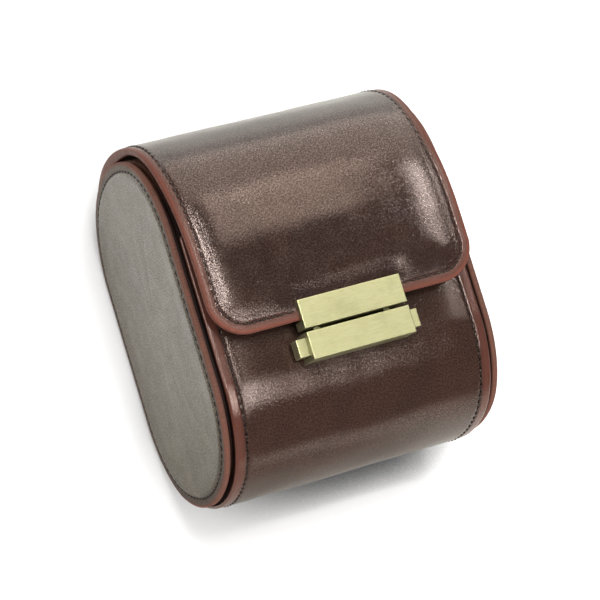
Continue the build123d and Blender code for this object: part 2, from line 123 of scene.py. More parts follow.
# Stitching.
PITCH = 3.0
BODY_STITCH_INSET = 3.8
FLAP_STITCH_INSET = 3.0
CAP_STITCH_INSET = 3.0
SEAM_DEPTH = 0.30
SEAM_HALF_WIDTH = 0.45
THREAD_RADIUS = 0.32
THREAD_SINK = 0.22
STITCH_LENGTH = 2.2
HOLE_HALF_LENGTH = 0.60
HOLE_HALF_WIDTH = 0.50

# How the leather is drawn: spacing of its points, and details the CAD source leaves out.
FINE_ROWS = 14.0
ROW_STEP = 0.75
COLUMN_STEP = 2.4
MOST_INSET = 20.0
UNEVENNESS = 0.10
MARGIN_SLOPE = 0.12
BODY_PADDING = 0.36
BODY_PADDING_REACH = 7.5
TOP_ROUNDING = 0.6
UNDER_ROUNDING = 0.35
BEHIND_CREST_RISE = 1.35
THICK_EDGE = 1.1
BOARD_POCKET = 1.45
BOARD_INSET = 2.3
CAP_ROUNDING = 0.55
CAP_SWELL = 0.40
CAP_MIDDLE_RISE = 0.12
MOST_PUFF = 0.8


def place(points):
    """Section millimetres to frame metres."""
    return (np.asarray(points, float) + FRAME_SHIFT) * MM


def smoothstep(value):
    value = np.clip(value, 0.0, 1.0)
    return value * value * (3.0 - 2.0 * value)


def unit(vectors):
    """Vectors brought to a length of one."""
    return vectors / np.linalg.norm(vectors, axis=-1, keepdims=True)


def walked(points):
    """The length of a line up to each of its points."""
    steps = np.linalg.norm(np.diff(points, axis=0), axis=1)
    return np.concatenate([[0.0], np.cumsum(steps)])


class Path:
    """A line in the section, walked by its length, with the outward normal at each point."""

    STEP = 0.2

    def __init__(self):
        self.points = []
        self.normals = []

    def arc(self, centre, radius, start, end):
        count = max(2, int(abs(radians(end - start)) * radius / self.STEP))
        angles = np.radians(np.linspace(start, end, count))
        out = np.stack([np.cos(angles), np.sin(angles)], 1)
        self.points.append(np.array(centre) + radius * out)
        self.normals.append(out)

    def line(self, start, end, normal):
        count = max(2, int(hypot(end[0] - start[0], end[1] - start[1]) / self.STEP))
        share = np.linspace(0, 1, count)[:, None]
        self.points.append(np.array(start) * (1 - share) + np.array(end) * share)
        self.normals.append(np.tile(normal, (count, 1)).astype(float))

    def close(self):
        self.p = np.concatenate(self.points)
        self.n = np.concatenate(self.normals)
        self.s = walked(self.p)
        keep = np.diff(self.s, prepend=-1.0) > 1e-6
        self.p, self.n, self.s = self.p[keep], self.n[keep], self.s[keep]
        self.length = self.s[-1]
        return self

    def at(self, s):
        """Points and unit normals, as arrays shaped like s with a last axis of 2."""
        s = np.asarray(s, float)
        point = np.stack([np.interp(s, self.s, self.p[:, k]) for k in (0, 1)], -1)
        normal = np.stack([np.interp(s, self.s, self.n[:, k]) for k in (0, 1)], -1)
        return point, unit(normal)

    def surface(self, x, s, height):
        """3-D points at x along the roll, s along the line and a height over it."""
        point, normal = self.at(s)
        out = point + normal * np.asarray(height)[..., None]
        return np.stack([np.broadcast_to(x, out.shape[:-1]), out[..., 0], out[..., 1]], -1)


def oval(corner_at, corner, crown_y, crown, depth, join, stop=None):
    """A flattened oval, walked from the top of its front and closed unless it stops early.

    Its corners lie at (y, z) either way; join and stop are angles from its long axis.
    """
    y, z = corner_at
    path = Path()
    path.line((y, depth), (-y, depth), (0, 1))
    path.arc((-y, z), corner, 90, 180 - join)
    path.arc((-crown_y, 0), crown, 180 - join, 180 + join)
    path.arc((-y, -z), corner, 180 + join, 270)
    path.line((-y, -depth), (y, -depth), (0, -1))
    path.arc((y, -z), corner, 270, 360 - (stop or join))
    if stop is None:
        path.arc((crown_y, 0), crown, -join, join)
        path.arc((y, z), corner, join, 90)
    return path.close()


def case_path(level, stop=None):
    """The case's own oval at a level: front wall, bottom, back and, unless it stops, the crest."""
    corner, crown, depth = CORNER + level, CROWN + level, HALF_DEPTH + level
    return oval((CORNER_Y, CORNER_Z), corner, CROWN_Y, crown, depth, JOIN, stop)


def flap_path(level):
    """From the tail, over the hinge and the crest, to the flap's low edge."""
    path = Path()
    path.arc((CORNER_Y, -CORNER_Z), CORNER + level, -TAIL_ANGLE, -JOIN)
    path.arc((CROWN_Y, 0), CROWN + level, -JOIN, JOIN)
    path.arc((CORNER_Y, CORNER_Z), CORNER + level, JOIN, FLARE_ANGLE)
    path.arc(FLARE_CENTRE, FLARE_RADIUS + level, FLARE_ANGLE, 90)
    path.line((FLARE_CENTRE[0], FLAP_FRONT + level), (FLAP_LOW_EDGE, FLAP_FRONT + level), (0, 1))
    return path.close()


BODY = case_path(WRAP_RISE, TAIL_ANGLE)
FLAP = flap_path(FLAP_RISE)
TAIL_LENGTH = radians(TAIL_ANGLE - JOIN) * (CORNER + FLAP_RISE)
HINGE_S = TAIL_LENGTH + radians(JOIN - HINGE_ANGLE) * (CROWN + FLAP_RISE)
CREST_S = TAIL_LENGTH + radians(JOIN + 8.0) * (CROWN + FLAP_RISE)


def link(name, data):
    """An object for a mesh, a lamp or a camera, put in the scene."""
    obj = bpy.data.objects.new(name, data)
    bpy.context.scene.collection.objects.link(obj)
    return obj


def put(thing, **values):
    """Set several properties of a thing."""
    for key, value in values.items():
        setattr(thing, key, value)
    return thing


def make_piece(name, points, faces, uv=None, inset=None):
    """A mesh object from section millimetres, with its UVs and its distance from the rim."""
    mesh = bpy.data.meshes.new(name)
    mesh.from_pydata(place(points).tolist(), [], [tuple(int(i) for i in f) for f in faces])
    mesh.shade_smooth()
    corners = np.empty(len(mesh.loops), np.int64)
    mesh.loops.foreach_get("vertex_index", corners)
    if uv is not None:
        layer = mesh.uv_layers.new(name="leather")
        layer.data.foreach_set("uv", np.asarray(uv, float)[corners].ravel())
    if inset is not None:
        attribute = mesh.attributes.new("inset", "FLOAT", "POINT")
        attribute.data.foreach_set("value", np.minimum(inset, MOST_INSET).astype(np.float32))
    return link(name, mesh)


def mend(obj, merge=True):
    """Join doubled points if asked, and turn every face outward."""
    clean = bmesh.new()
    clean.from_mesh(obj.data)
    if merge:
        bmesh.ops.remove_doubles(clean, verts=clean.verts, dist=1e-6)
    bmesh.ops.recalc_face_normals(clean, faces=clean.faces)
    clean.to_mesh(obj.data)
    clean.free()
    obj.data.shade_smooth()


def grid_faces(index, flip=False):
    """Quads of a grid of vertex numbers."""
    a, b = index[:-1, :-1].ravel(), index[:-1, 1:].ravel()
    c, d = index[1:, 1:].ravel(), index[1:, :-1].ravel()
    quads = np.stack([a, b, c, d], 1) if not flip else np.stack([a, d, c, b], 1)
    good = (quads[:, 0] != quads[:, 1]) & (quads[:, 1] != quads[:, 2])
    good &= (quads[:, 2] != quads[:, 3]) & (quads[:, 3] != quads[:, 0])
    return quads[good].tolist()


def ring_index(count, sides):
    """Vertex numbers of a stack of rings, each with its first number again at its end."""
    index = np.arange(count).reshape(-1, sides)
    return np.concatenate([index, index[:, :1]], 1)


def from_edge(total, near):
    """Distances 0 to total, close together near the rim and even further in."""
    start = np.array([0, 0.03, 0.12, 0.28, 0.5, 0.75, 1.05, 1.4, 1.8, 2.2, 2.5, 2.75, 3.0, 3.25,
                      3.5, 3.8, 4.1, 4.45, 4.9, 5.5, 6.2, 7.0, 8.0, 9.2, 10.5])
    start = start[start < total - near / 2]
    count = max(1, int(round((total - start[-1]) / near)))
    return np.concatenate([start, np.linspace(start[-1], total, count + 1)[1:]])


def wobble(x, s, amount, seed):
    """Slow unevenness of a hand-laid skin."""
    rng = np.random.default_rng(seed)
    total = np.zeros(np.broadcast(x, s).shape)
    for wave in (70.0, 46.0, 33.0, 24.0, 17.0, 12.0):
        for _ in range(2):
            angle, phase = rng.uniform(0, 2 * pi, 2)
            total = total + wave / 40.0 * np.sin(
                2 * pi / wave * (x * cos(angle) + s * sin(angle)) + phase
            )
    return amount * total / 3.0


def rounded(inset, radius):
    """How far a surface drops at this distance from a rim rounded to a radius."""
    near = np.clip(radius - inset, 0, radius)
    return radius - np.sqrt(np.clip(radius**2 - near**2, 0, None))


def seam_relief(inset, seam, along, drop):
    """Sloped margin outside a seam, and the seam itself, which each stitch pulls down."""
    margin = -drop * np.clip(1 - inset / seam, 0, 1) ** 1.3
    stitch_by_stitch = 0.85 + 0.15 * np.cos(2 * pi * along / PITCH)
    pull = SEAM_DEPTH * stitch_by_stitch * (1 + 0.15 * np.sin(along * 1.37))
    return margin - pull * np.exp(-(((inset - seam) / SEAM_HALF_WIDTH) ** 2))


def padding(inside, reach):
    """Share of its full rise that padding has at a distance inside the seam."""
    return 1 - (1 - np.clip(inside / reach, 0, 1)) ** 2


# ---------------- leather sheets


def sheet_rows(length):
    """Distances along a sheet: close together near its first rim, then even."""
    even = np.arange(FINE_ROWS + ROW_STEP, length, ROW_STEP)
    return np.concatenate([from_edge(FINE_ROWS, ROW_STEP), even, [length]])


def sheet_columns(half):
    """Places across a sheet as shares of its half width: close together near both rims."""
    share = 1 - from_edge(half, COLUMN_STEP) / half
    return np.concatenate([-share, share[::-1][1:]])


def rim_inset(side, end, radius):
    """Distance from a rim with rounded corners, from the distances to its side and its end."""
    near = (side < radius) & (end < radius)
    corner = radius - np.hypot(radius - side, radius - end)
    return np.clip(np.where(near, corner, np.minimum(side, end)), 0, None)


def sheet(name, path, X, S, top, low, rim, grain_start=0.0, flip=False):
    """Leather between two heights over a path; top and underside meet along its rim."""
    border = np.zeros(X.shape, bool)
    border[0, :] = border[:, 0] = border[:, -1] = True
    top = np.where(border, (top + low) / 2, top)
    points = np.concatenate([path.surface(X, S, level).reshape(-1, 3) for level in (top, low)])
    index = np.arange(X.size).reshape(X.shape)
    under = np.where(border, index, index + X.size)
    faces = grid_faces(index, flip) + grid_faces(under, not flip)
    uv = np.stack([X.ravel(), (grain_start + S).ravel()], 1)
    return make_piece(name, points, faces, np.tile(uv, (2, 1)), np.tile(rim.ravel(), 2))


def build_body_wrap():
    """One piece of leather round the front wall, the bottom and the back."""
    X, S = np.meshgrid(sheet_columns(WRAP_HALF_WIDTH) * WRAP_HALF_WIDTH, sheet_rows(BODY.length))
    rim = rim_inset(WRAP_HALF_WIDTH - np.abs(X), S, MOUTH_CORNER)
    # Bring the two mouth corners in to their rounding.
    X = X * (1 - rounded(S, MOUTH_CORNER) / WRAP_HALF_WIDTH)
    side = WRAP_HALF_WIDTH - np.abs(X)
    point, _ = BODY.at(S)
    # The back lies flat on the table, and the bottom is padded less than the front.
    resting = smoothstep((-point[..., 1] - 30.0) / 10.0)
    bottom = smoothstep((-point[..., 0] - 30.0) / 18.0)
    rise = BODY_PADDING * (1 - resting) * (1 - 0.7 * bottom)
    relief = seam_relief(side, BODY_STITCH_INSET, S, MARGIN_SLOPE)
    relief = relief - MARGIN_SLOPE * np.clip(1 - side / 1.1, 0, 1) ** 2
    relief = relief + rise * padding(side - BODY_STITCH_INSET, BODY_PADDING_REACH)
    uneven = wobble(X, S, UNEVENNESS, 11) * (1 - resting) * smoothstep((side - 4) / 8)
    top = relief + uneven - rounded(rim, TOP_ROUNDING)
    top = np.minimum(top, 10.0 * (1 - resting))
    low = np.minimum(-LEATHER_THICKNESS + rounded(rim, UNDER_ROUNDING), top - 0.02)
    obj = sheet("body_wrap", BODY, X, S, top, low, rim, flip=True)
    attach(obj, "case")
    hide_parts("body_leather")
    return obj


def flap_height(s):
    """Height over the flap's level: down to the body at the tail's end, raised behind the crest."""
    s = np.asarray(s, float)
    tail = -(FLAP_RISE - WRAP_RISE) * (1 - smoothstep(s / 27.0))
    return tail + BEHIND_CREST_RISE * smoothstep(s / 30.0) * (1 - smoothstep((s - 36.0) / 32.0))


def flap_padding(X, V, half, inside):
    """Padding that stands up sharply inside the left and low seams, and slowly at the right."""
    near_left, near_right = np.exp(-(half + X) / 14.0), np.exp(-(half - X) / 14.0)
    near_low = np.exp(-V / 5.0)
    total = near_left + near_right + near_low
    reach = (8.5 * near_left + 15.0 * near_right + 7.0 * near_low) / total
    rise = (0.95 * near_left + 1.55 * near_right + 0.95 * near_low) / total
    return rise * padding(inside, reach)


def flap_underside(S, rim, side, along_tail):
    """The flap's underside: on the tube at the tail, then thicker, with a pocket for the board."""
    on_tube = -(FLAP_RISE - WRAP_RISE) - LEATHER_THICKNESS
    past_hinge = smoothstep((S - HINGE_S + 1.2) / 1.6)
    low = on_tube * (1 - past_hinge) - FLAP_THICKNESS * past_hinge
    pocket = smoothstep((rim - BOARD_INSET) / 0.25) * smoothstep((S - HINGE_S - BOARD_INSET) / 0.4)
    low = low + pocket * BOARD_POCKET
    # The turned edge is thicker where the flap stands off the tube behind the crest.
    thick = smoothstep((S - HINGE_S - 3.0) / 5.0) * (1 - smoothstep((S - 62.0) / 18.0))
    low = low - THICK_EDGE * thick * (1 - smoothstep((side - 1.6) / 0.5))
    return low + rounded(rim, 0.75 - 0.35 * (1 - along_tail))


def build_flap_wrap():
    """The flap's leather with its tail: one piece over the hinge, turned under at the rim."""
    U, V = np.meshgrid(sheet_columns(FLAP_HALF_WIDTH), sheet_rows(FLAP.length))
    S = FLAP.length - V
    along_tail = smoothstep(S / HINGE_S)
    half = WRAP_HALF_WIDTH + (FLAP_HALF_WIDTH + 0.3 - WRAP_HALF_WIDTH) * along_tail
    X = U * (half - rounded(V, FLAP_LOW_CORNER))
    side = half - np.abs(X)
    rim = rim_inset(side, V, FLAP_LOW_CORNER)
    seam = BODY_STITCH_INSET + (FLAP_STITCH_INSET - BODY_STITCH_INSET) * along_tail
    front = smoothstep((S - CREST_S - 6.0) / 44.0)
    relief = seam_relief(rim, seam, S + X * (V < 6), 0.10 + 0.30 * front)
    relief = relief + front * flap_padding(X, V, half, rim - seam)
    # The clasp plate presses the leather flatter under it.
    pressed = smoothstep((22.5 - np.abs(X)) / 4.5) * smoothstep((13.0 - V) / 5.5)
    relief = relief * (1 - 0.6 * pressed)
    uneven = wobble(X, S, UNEVENNESS, 8) * smoothstep((rim - 4) / 10) * (1 - pressed)
    top = flap_height(S) + relief + uneven - rounded(rim, 0.7 - 0.3 * (1 - along_tail))
    low = np.minimum(flap_underside(S, rim, side, along_tail), top - 0.05)
    obj = sheet("flap_wrap", FLAP, X, S, top, low, rim, grain_start=BODY.length)
    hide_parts("flap_leather")
    return obj


def cap_height(inset, s, point, side):
    """Height of a cap's outer face along the ring at one inset from its rim."""
    if inset == 0:
        return np.full(len(s), -CAP_THICKNESS / 2)
    inside, reach = inset - CAP_STITCH_INSET, 8.0
    swell = smoothstep(inside / (0.22 * reach)) * (1 - 0.55 * smoothstep(inside / reach - 0.25))
    relief = seam_relief(inset, CAP_STITCH_INSET, s, 0.04) + CAP_SWELL * swell
    uneven = wobble(point[:, 0], point[:, 1], 0.05, 21 + side) * smoothstep((inset - 4) / 8)
    return relief - rounded(inset, CAP_ROUNDING) + uneven


def build_cap(side, label):
    """Stitched end cap: burnished rim, sloped margin and a panel that swells a little."""
    outline = case_path(0.0)
    count = 480
    s = np.arange(count) / count * outline.length
    point, normal = outline.at(s)
    rows = []
    for inset in (1.4, 0.7, 0.3, 0.08):  # the inner face, from inside out to the rim
        height = np.full(count, rounded(inset, CAP_ROUNDING) - CAP_THICKNESS)
        rows.append((point - normal * inset, height, inset))
    for inset in np.concatenate([from_edge(12.0, 1.5), np.arange(14.0, 29.0, 2.5)]):
        rows.append((point - normal * inset, cap_height(inset, s, point, side), inset))
    last, last_height, _ = rows[-1]
    for share in (0.8, 0.6, 0.4, 0.2, 0.0):  # the middle of the panel
        height = last_height * share + (1 - share) * CAP_MIDDLE_RISE
        rows.append((last * share, height, MOST_INSET))
    rings, heights, insets = (np.array(part) for part in zip(*rows))
    points = np.concatenate([side * (CAP_OUTER_X + heights[..., None]), rings], -1)
    flat = points.reshape(-1, 3)  # x, then the ring's y and z
    faces = grid_faces(ring_index(len(flat), count), flip=side > 0)
    faces.append(tuple(range(count))[::-side])
    uv = np.stack([flat[:, 1] + 200 * side, flat[:, 2]], 1)
    obj = make_piece(f"{label}_cap_panel", flat, faces, uv, np.repeat(insets, count))
    mend(obj)
    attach(obj, "case")
    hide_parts(f"{label}_cap_leather")
    return obj


def build_binding(name, outline):
    """Leather turned over a mouth edge: a rounded strip run along the roll."""
    xs = np.linspace(-1, 1, 60) * (SHELL_HALF_WIDTH - 0.02)
    outline = np.asarray(outline, float)
    points = np.concatenate([np.column_stack([np.full(len(outline), x), outline]) for x in xs])
    index = ring_index(len(points), len(outline))
    faces = grid_faces(index) + [tuple(index[0][:-1]), tuple(index[-1][-2::-1])]
    length = walked(outline) + 300
    uv = np.concatenate([np.column_stack([np.full(len(outline), x), length]) for x in xs])
    obj = make_piece(name, points, faces, uv, np.full(len(points), 4.0))
    mend(obj, merge=False)
    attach(obj, "case")
    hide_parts("body_leather")
    return obj


def front_binding():
    """The leather turned over the front wall's top edge."""
    inside = HALF_DEPTH + LINING_INNER
    outside = HALF_DEPTH + WRAP_RISE - LEATHER_THICKNESS + 0.05
    middle = (inside + outside) / 2
    radius = (outside - inside) / 2
    top = CORNER_Y - radius
    angles = np.radians(np.linspace(90, -90, 15))
    arch = [(top + radius * cos(a), middle + radius * sin(a)) for a in angles]
    foot = [(top - 0.6, inside), (top - 0.6, inside + 0.5), (top - 0.1, inside + 0.6)]
    foot += [(top - 0.1, outside - 0.3), (top - 0.6, outside - 0.2), (top - 0.6, outside)]
    return build_binding("front_edge_binding", arch + foot)


def rear_binding():
    """The leather turned over the tube's edge just below the hinge."""
    edge = HINGE_ANGLE - 1.0
    outline = []
    low, high = CROWN + LINING_INNER, CROWN + WRAP_RISE - LEATHER_THICKNESS
    middle, radius = (low + high) / 2, (high - low) / 2
    for a in np.radians(np.linspace(90, -90, 15)):
        lift = degrees((radius * cos(a) - radius) / CROWN)
        r = middle + radius * sin(a)
        angle = radians(-(edge - lift))
        outline.append((CROWN_Y + r * cos(angle), r * sin(angle)))
    back = radians(-(edge + degrees(2.0 / CROWN)))
    outline.append((CROWN_Y + low * cos(back), low * sin(back)))
    outline.append((CROWN_Y + high * cos(back), high * sin(back)))
    return build_binding("rear_edge_binding", outline)


# ---------------- stitching


STITCH_SIDES = 8
ROUND = [k / STITCH_SIDES * 2 * pi for k in range(STITCH_SIDES)]
# Along a stitch: the share of its half length, of its thickness, and its height in mm.
STITCH_FORM = (
    (-1.0, 0.35, -0.42), (-0.86, 0.78, -0.12), (-0.55, 0.97, 0.16), (0.0, 1.0, 0.24),
    (0.55, 0.97, 0.16), (0.86, 0.78, -0.12), (1.0, 0.35, -0.42),
)


class Seam:
    """Stitches and needle holes gathered into one mesh."""

    def __init__(self, seed):
        self.rng = np.random.default_rng(seed)
        self.points, self.faces, self.uv, self.holes = [], [], [], []

    def hole(self, centre, along, across, out):
        """A near-black disc where two stitches meet, painted shade for the needle hole."""
        first = len(self.points)
        for t in ROUND:
            rim = along * HOLE_HALF_LENGTH * cos(t) + across * HOLE_HALF_WIDTH * sin(t)
            self.points.append(centre + rim + out * 0.07)
        self.points.append(centre + out * 0.10)
        self.uv += [(0.0, 0.0)] * (STITCH_SIDES + 1)
        for k in range(STITCH_SIDES):
            self.holes.append(len(self.faces))
            self.faces.append((first + k, first + (k + 1) % STITCH_SIDES, first + STITCH_SIDES))

    def stitch(self, number, centre, along, across, out):
        """One stitch that slants a little, its ends drawn into the leather."""
        slant = radians(7 + self.rng.uniform(-2, 2))
        heading = along * cos(slant) + across * sin(slant)
        beside = np.cross(out, heading)
        grow = 1 + self.rng.uniform(-0.05, 0.05)
        first = len(self.points)
        for share, thick, lift in STITCH_FORM:
            step = share * STITCH_LENGTH / 2
            height = lift + self.rng.uniform(-0.01, 0.01)
            middle = centre + heading * step * grow + out * height
            for t in ROUND:
                ring = beside * cos(t) + out * sin(t) * 0.85
                self.points.append(middle + THREAD_RADIUS * thick * ring)
                self.uv.append((step + number * PITCH, t))
        last = first + (len(STITCH_FORM) - 1) * STITCH_SIDES
        for ring in range(first, last, STITCH_SIDES):
            for k in range(STITCH_SIDES):
                a, b = ring + k, ring + (k + 1) % STITCH_SIDES
                self.faces.append((a, b, b + STITCH_SIDES, a + STITCH_SIDES))
        self.faces.append(tuple(range(first, first + STITCH_SIDES))[::-1])
        self.faces.append(tuple(range(last, last + STITCH_SIDES)))


def thread_mesh(name, frames, seed):
    """A sewn stitch and a needle hole for each frame (point, direction, normal)."""
    seam = Seam(seed)
    for number, (centre, along, out) in enumerate(frames):
        along = unit(along)
        out = unit(out - along * (out @ along))
        across = np.cross(out, along)
        seam.hole(centre + along * PITCH / 2, along, across, out)
        seam.stitch(number, centre, along, across, out)
    obj = make_piece(name, np.array(seam.points), seam.faces, np.array(seam.uv))
    slots = np.zeros(len(seam.faces), np.int32)
    slots[seam.holes] = 1
    obj.data.polygons.foreach_set("material_index", slots)
    return obj


def seam_frames(path, track, height, skip=None):
    """Stitch frames evenly spread on a track of (x, s) points laid on a path's surface."""
    track = np.asarray(track, float)
    dense = []
    for a, b in zip(track[:-1], track[1:]):
        count = max(2, int(np.linalg.norm(b - a) / 0.2))
        dense.append(a + (b - a) * np.linspace(0, 1, count, endpoint=False)[:, None])
    dense = np.concatenate(dense + [track[-1:]])
    heights = np.array([height(x, s) for x, s in dense])
    world = path.surface(dense[:, 0], dense[:, 1], heights)
    _, normal = path.at(dense[:, 1])
    out = np.column_stack([np.zeros(len(normal)), normal])
    run = walked(world)

    def there(values, distance):
        return np.array([np.interp(distance, run, values[:, i]) for i in range(3)])

    number = int(run[-1] // PITCH)
    frames = []
    for k in range(number):
        middle = (k + 0.5) * run[-1] / number
        point = there(world, middle)
        along = there(world, middle + 0.8) - there(world, middle - 0.8)
        if skip is None or not skip(point):
            frames.append((point, along, there(out, middle)))
    return frames


def body_seam(side):
    """Frames of the stitches along one side of the body's leather."""
    x = side * (WRAP_HALF_WIDTH - BODY_STITCH_INSET)
    frames = seam_frames(BODY, [(x, 2.0), (x, BODY.length)], lambda x, s: -THREAD_SINK)
    # Stitches under the resting back lie level with the leather.
    return [(p - n * 0.25 * (p[2] < -38), t, n) for p, t, n in frames]


def cap_seam(side):
    """Frames of the stitches round one cap."""
    ring = case_path(-CAP_STITCH_INSET)
    number = int(ring.length // PITCH)
    points, normals = ring.at((np.arange(number) + 0.5) / number * ring.length)
    x = side * (CAP_OUTER_X - THREAD_SINK)
    out = np.array([float(side), 0, 0])
    return [
        (np.array([x, p[0], p[1]]), np.array([0, n[1], -n[0]]), out)
        for p, n in zip(points, normals)
    ]


def flap_seam():
    """Frames of the stitches round the flap, left out where the clasp plate covers them."""
    inner = FLAP_HALF_WIDTH - FLAP_STITCH_INSET
    tail = WRAP_HALF_WIDTH - BODY_STITCH_INSET
    turn = FLAP_LOW_CORNER - FLAP_STITCH_INSET
    corner_x, corner_s = FLAP_HALF_WIDTH - FLAP_LOW_CORNER, FLAP.length - FLAP_LOW_CORNER
    right = [
        (tail + (inner - tail) * float(smoothstep(s / HINGE_S)), s)
        for s in np.linspace(0, corner_s, 60)
    ]
    corner = [
        (corner_x + turn * cos(a), corner_s + turn * sin(a))
        for a in np.radians(np.linspace(5, 90, 18))
    ]
    half = right + corner
    track = [(-x, s) for x, s in half] + half[::-1]

    def height(x, s):
        return float(flap_height(s)) - THREAD_SINK - 0.02

    def under_plate(point):
        return abs(point[0]) < PLATE_HALF_WIDTH + 1.2 and point[1] < -5.0 and point[2] > 40

    return seam_frames(FLAP, track, height, skip=under_plate)


def build_stitches():
    """All stitches, and of these the flap's own."""
    made = []
    for side, label in SIDES:
        for part, frames in (("body", body_seam(side)), ("cap", cap_seam(side))):
            name = f"{label}_{part}_stitches"
            obj = thread_mesh(name, frames, seed=len(name))
            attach(obj, "case")
            made.append(obj)
    obj = thread_mesh("flap_stitches", flap_seam(), seed=17)
    made.append(obj)
    return made, obj


# ---------------- materials


class Nodes:
    """A small helper round the node tree of a material or a world."""

    def __init__(self, owner, output="ShaderNodeOutputMaterial"):
        owner.use_nodes = True
        self.tree = owner.node_tree
        self.tree.nodes.clear()
        self.out = self.add(output)

    def show(self, shader):
        self.join(shader, self.out.inputs["Surface"])

    def add(self, kind, **settings):
        return put(self.tree.nodes.new(kind), **settings)

    def leather_uv(self):
        return self.add("ShaderNodeUVMap", uv_map="leather").outputs[0]

    def place_at(self):
        return self.add("ShaderNodeTexCoord").outputs["Object"]

    def join(self, source, target):
        self.tree.links.new(source, target)

    def feed(self, target, value):
        if isinstance(value, bpy.types.NodeSocket):
            self.join(value, target)
        else:
            target.default_value = value

    def scaled(self, source, scale):
        node = self.add("ShaderNodeVectorMath", operation="MULTIPLY")
        self.join(source, node.inputs[0])
        node.inputs[1].default_value = scale
        return node.outputs[0]

    def fill(self, node, **values):
        """Set or join a node's inputs by name, with underscores for spaces."""
        for key, value in values.items():
            self.feed(node.inputs[key.replace("_", " ")], value)

    def noise(self, vector, scale, detail=3.0, rough=0.55, distort=0.0):
        node = self.add("ShaderNodeTexNoise")
        self.fill(node, Vector=vector, Scale=scale, Detail=detail)
        self.fill(node, Roughness=rough, Distortion=distort)
        return node.outputs[0]

    def cells(self, vector, scale):
        node = self.add("ShaderNodeTexVoronoi", feature="F1")
        self.fill(node, Vector=vector, Scale=scale)
        return node.outputs["Distance"]

    def math(self, operation, a, b=0.0):
        node = self.add("ShaderNodeMath", operation=operation)
        self.feed(node.inputs[0], a)
        self.feed(node.inputs[1], b)
        return node.outputs[0]

    def times(self, a, b):
        return self.math("MULTIPLY", a, b)

    def remap(self, value, low, high, to_low=0.0, to_high=1.0):
        """A smooth step from one value to another as the input goes from low to high."""
        node = self.add("ShaderNodeMapRange", interpolation_type="SMOOTHSTEP")
        self.fill(node, Value=value, From_Min=low, From_Max=high, To_Min=to_low, To_Max=to_high)
        return node.outputs["Result"]

    def blend(self, factor, a, b):
        node = self.add("ShaderNodeMix", data_type="RGBA")
        self.feed(node.inputs[0], factor)
        self.feed(node.inputs[6], a)
        self.feed(node.inputs[7], b)
        return node.outputs[2]

    def bump(self, height, strength, distance, normal=None):
        node = self.add("ShaderNodeBump")
        self.fill(node, Height=height, Strength=strength, Distance=distance)
        if normal is not None:
            self.join(normal, node.inputs["Normal"])
        return node.outputs[0]

    def mixed(self, kind, *sources):
        """A shader of a kind with its inputs joined in order."""
        node = self.add(kind)
        for source, target in zip(sources, node.inputs):
            self.join(source, target)
        return node.outputs[0]


class Coat(Nodes):
    """A new material with one principled shader."""

    def __init__(self, name):
        self.material = bpy.data.materials.new(name)
        super().__init__(self.material)
        self.shader = self.add("ShaderNodeBsdfPrincipled")
        self.show(self.shader.outputs[0])

    def set(self, **values):
        self.fill(self.shader, **values)


def rgb(red, green, blue):
    """A colour given as it looks on screen, 0 to 255, for a shader socket."""
    def linear(value):
        value /= 255
        return value / 12.92 if value <= 0.04045 else ((value + 0.055) / 1.055) ** 2.4
    return (linear(red), linear(green), linear(blue), 1.0)


def scaled_colour(colour, by):
    """A colour made brighter or darker by a factor."""
    return [by * part for part in colour[:3]] + [1.0]


PORE = rgb(24, 13, 10)
PEBBLE = rgb(24, 15, 12)
WARM_SHINE = (1.0, 0.80, 0.71, 1)
CAP_SHINE = (1.0, 1.0, 0.86, 1)


